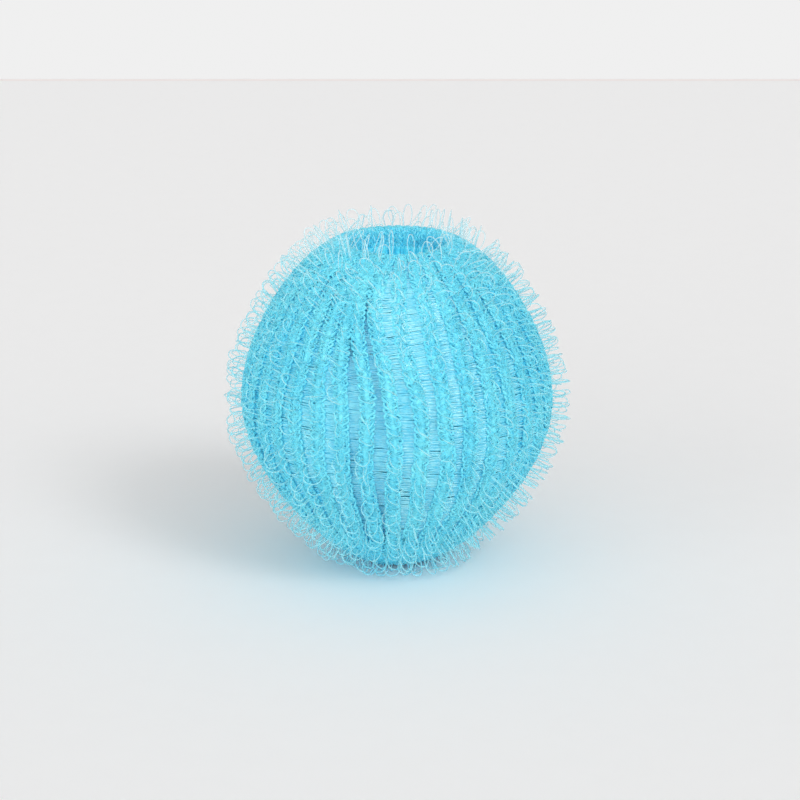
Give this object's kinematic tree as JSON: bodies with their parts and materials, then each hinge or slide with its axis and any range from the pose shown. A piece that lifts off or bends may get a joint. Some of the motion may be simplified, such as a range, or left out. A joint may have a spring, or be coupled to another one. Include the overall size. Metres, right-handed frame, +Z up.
{
  "type": "pet hair laundry ball",
  "caption": "Hollow knitted nylon ball set all over with small filament loops that catch hair in the wash, gathered and tied at both poles.",
  "frame": {"origin": "under the middle of the ball, on the surface that its flat base rests on", "axes": "+Z up from the base pole to the crater at the other pole; the ball turns about Z, and +X runs through the middle of the first wale"},
  "size_m": [0.0346, 0.0344, 0.0353],
  "materials": {
    "wale_yarn": "soft bright nylon yarn",
    "ground_filament": "translucent nylon filament",
    "sleeve_filament": "translucent nylon filament",
    "gathered_knit": "pleated knitted nylon",
    "tie_thread": "twisted nylon thread"
  },
  "bodies": {
    "root": {"wale_01": "wale_yarn", "wale_02": "wale_yarn", "wale_03": "wale_yarn", "wale_04": "wale_yarn", "wale_05": "wale_yarn", "wale_06": "wale_yarn", "wale_07": "wale_yarn", "wale_08": "wale_yarn", "wale_09": "wale_yarn", "wale_10": "wale_yarn", "wale_11": "wale_yarn", "wale_12": "wale_yarn", "wale_13": "wale_yarn", "wale_14": "wale_yarn", "wale_15": "wale_yarn", "wale_16": "wale_yarn", "wale_17": "wale_yarn", "wale_18": "wale_yarn", "wale_19": "wale_yarn", "wale_20": "wale_yarn", "wale_21": "wale_yarn", "wale_22": "wale_yarn", "wale_23": "wale_yarn", "wale_24": "wale_yarn", "wale_25": "wale_yarn", "wale_26": "wale_yarn", "wale_27": "wale_yarn", "wale_28": "wale_yarn", "wale_29": "wale_yarn", "wale_30": "wale_yarn", "wale_31": "wale_yarn", "wale_32": "wale_yarn", "wale_33": "wale_yarn", "wale_34": "wale_yarn", "wale_35": "wale_yarn", "wale_36": "wale_yarn", "wale_37": "wale_yarn", "wale_38": "wale_yarn", "ground_net": "ground_filament", "inner_sleeve": "sleeve_filament", "top_gather": "gathered_knit", "bottom_gather": "gathered_knit", "top_tie": "tie_thread", "bottom_tie": "tie_thread", "top_knot": "tie_thread", "bottom_knot": "tie_thread"}
  },
  "joints": []
}
